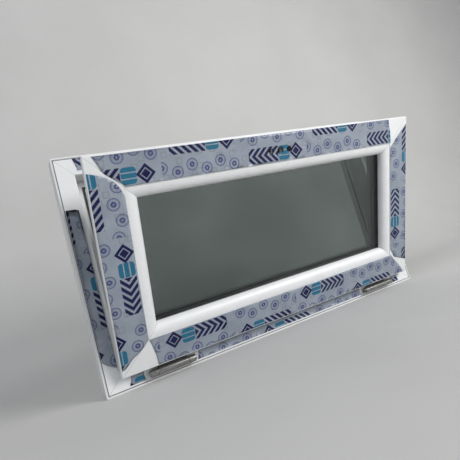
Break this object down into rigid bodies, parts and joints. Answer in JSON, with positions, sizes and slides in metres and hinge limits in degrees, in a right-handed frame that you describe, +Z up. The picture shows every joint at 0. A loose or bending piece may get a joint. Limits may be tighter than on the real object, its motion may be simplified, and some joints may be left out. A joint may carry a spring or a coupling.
{
  "type": "bottom-hung window",
  "caption": "White plastic window whose double-glazed sash tilts into the room on barrel hinges along its lower edge, held by side stays, with a lock drive in its top rail.",
  "frame": {"origin": "middle of the sill's underside, halfway through the frame's depth", "axes": "+X to the right seen from the room, +Y outdoors through the wall, +Z up"},
  "size_m": [0.8, 0.2286, 0.45],
  "materials": {
    "frame_plastic": "smooth white window plastic, slight sheen",
    "bead_plastic": "smooth white window plastic, slight sheen",
    "protective_film": "thin printed peel-off film",
    "seal_rubber": "matt black rubber seal",
    "glass": "clear float glass with a green edge",
    "spacer": "mill finish aluminium",
    "packer_plastic": "moulded plastic",
    "bush_plastic": "moulded nylon",
    "cap_plastic": "moulded white plastic",
    "hinge_nickel": "satin nickel",
    "screw_zinc": "zinc plated",
    "galvanised_steel": "galvanised",
    "hardware_zinc": "zinc plated and passivated"
  },
  "bodies": {
    "frame": {"frame_head": "frame_plastic", "frame_sill": "frame_plastic", "frame_jamb_left": "frame_plastic", "frame_jamb_right": "frame_plastic", "frame_steels_long": "galvanised_steel", "frame_steels_short": "galvanised_steel", "frame_gasket": "seal_rubber", "drain_caps": "cap_plastic", "film_frame_head": "protective_film", "film_frame_sill": "protective_film", "film_frame_left": "protective_film", "film_frame_right": "protective_film", "hinge_frame_leaf_left": "hinge_nickel", "hinge_frame_leaf_right": "hinge_nickel", "hinge_pins": "hinge_nickel", "hinge_frame_screws": "screw_zinc", "keeps": "hardware_zinc", "keep_screws": "screw_zinc", "stay_brackets": "hardware_zinc", "stay_bracket_screws": "screw_zinc"},
    "sash": {"sash_top_rail": "frame_plastic", "sash_bottom_rail": "frame_plastic", "sash_stile_left": "frame_plastic", "sash_stile_right": "frame_plastic", "sash_steels_long": "galvanised_steel", "sash_steels_short": "galvanised_steel", "sash_gasket": "seal_rubber", "glazing_gasket_outer": "seal_rubber", "glazing_gasket_inner": "seal_rubber", "bead_top": "bead_plastic", "bead_bottom": "bead_plastic", "bead_left": "bead_plastic", "bead_right": "bead_plastic", "glass_inner": "glass", "glass_outer": "glass", "spacer_bar": "spacer", "edge_seal": "seal_rubber", "glazing_packers": "packer_plastic", "film_sash_top": "protective_film", "film_sash_bottom": "protective_film", "film_sash_left": "protective_film", "film_sash_right": "protective_film", "hinge_sash_leaf_left": "hinge_nickel", "hinge_sash_leaf_right": "hinge_nickel", "hinge_bushes": "bush_plastic", "hinge_sash_screws": "screw_zinc", "lock_faceplate": "hardware_zinc", "lock_case": "hardware_zinc", "stay_tracks": "hardware_zinc", "sash_screws": "screw_zinc"},
    "drive_rod": {"drive_rod": "hardware_zinc", "roller_cams": "hardware_zinc"},
    "lock_follower": {"lock_follower": "hardware_zinc"},
    "stay_left": {"stay_arm_left": "hardware_zinc"},
    "stay_right": {"stay_arm_right": "hardware_zinc"}
  },
  "joints": [
    {"name": "sash_tilt", "type": "hinge", "parent": "frame", "child": "sash", "pos_m": [0, -0.04, 0.0165], "axis": [1, 0, 0], "range_deg": [-22.2, 0]},
    {"name": "handle_turn", "type": "hinge", "parent": "sash", "child": "lock_follower", "pos_m": [0, -0.16164, 0.36486], "axis": [0, 0.9259, 0.3778], "range_deg": [0, 90]},
    {"name": "rod_slide", "type": "slide", "parent": "sash", "child": "drive_rod", "axis": [1, 0, 0], "range_m": [0, 0.01257]},
    {"name": "stay_left_turn", "type": "hinge", "parent": "frame", "child": "stay_left", "pos_m": [-0.357, -0.02307, 0.09469], "axis": [1, 0, 0], "range_deg": [-44.4, 0]},
    {"name": "stay_right_turn", "type": "hinge", "parent": "frame", "child": "stay_right", "pos_m": [0.357, -0.02307, 0.09469], "axis": [1, 0, 0], "range_deg": [-44.4, 0]}
  ],
  "couplings": [
    {"joint": "handle_turn", "follows": "rod_slide", "rad_per_m": 125},
    {"joint": "stay_left_turn", "follows": "sash_tilt", "ratio": 2},
    {"joint": "stay_right_turn", "follows": "sash_tilt", "ratio": 2}
  ]
}
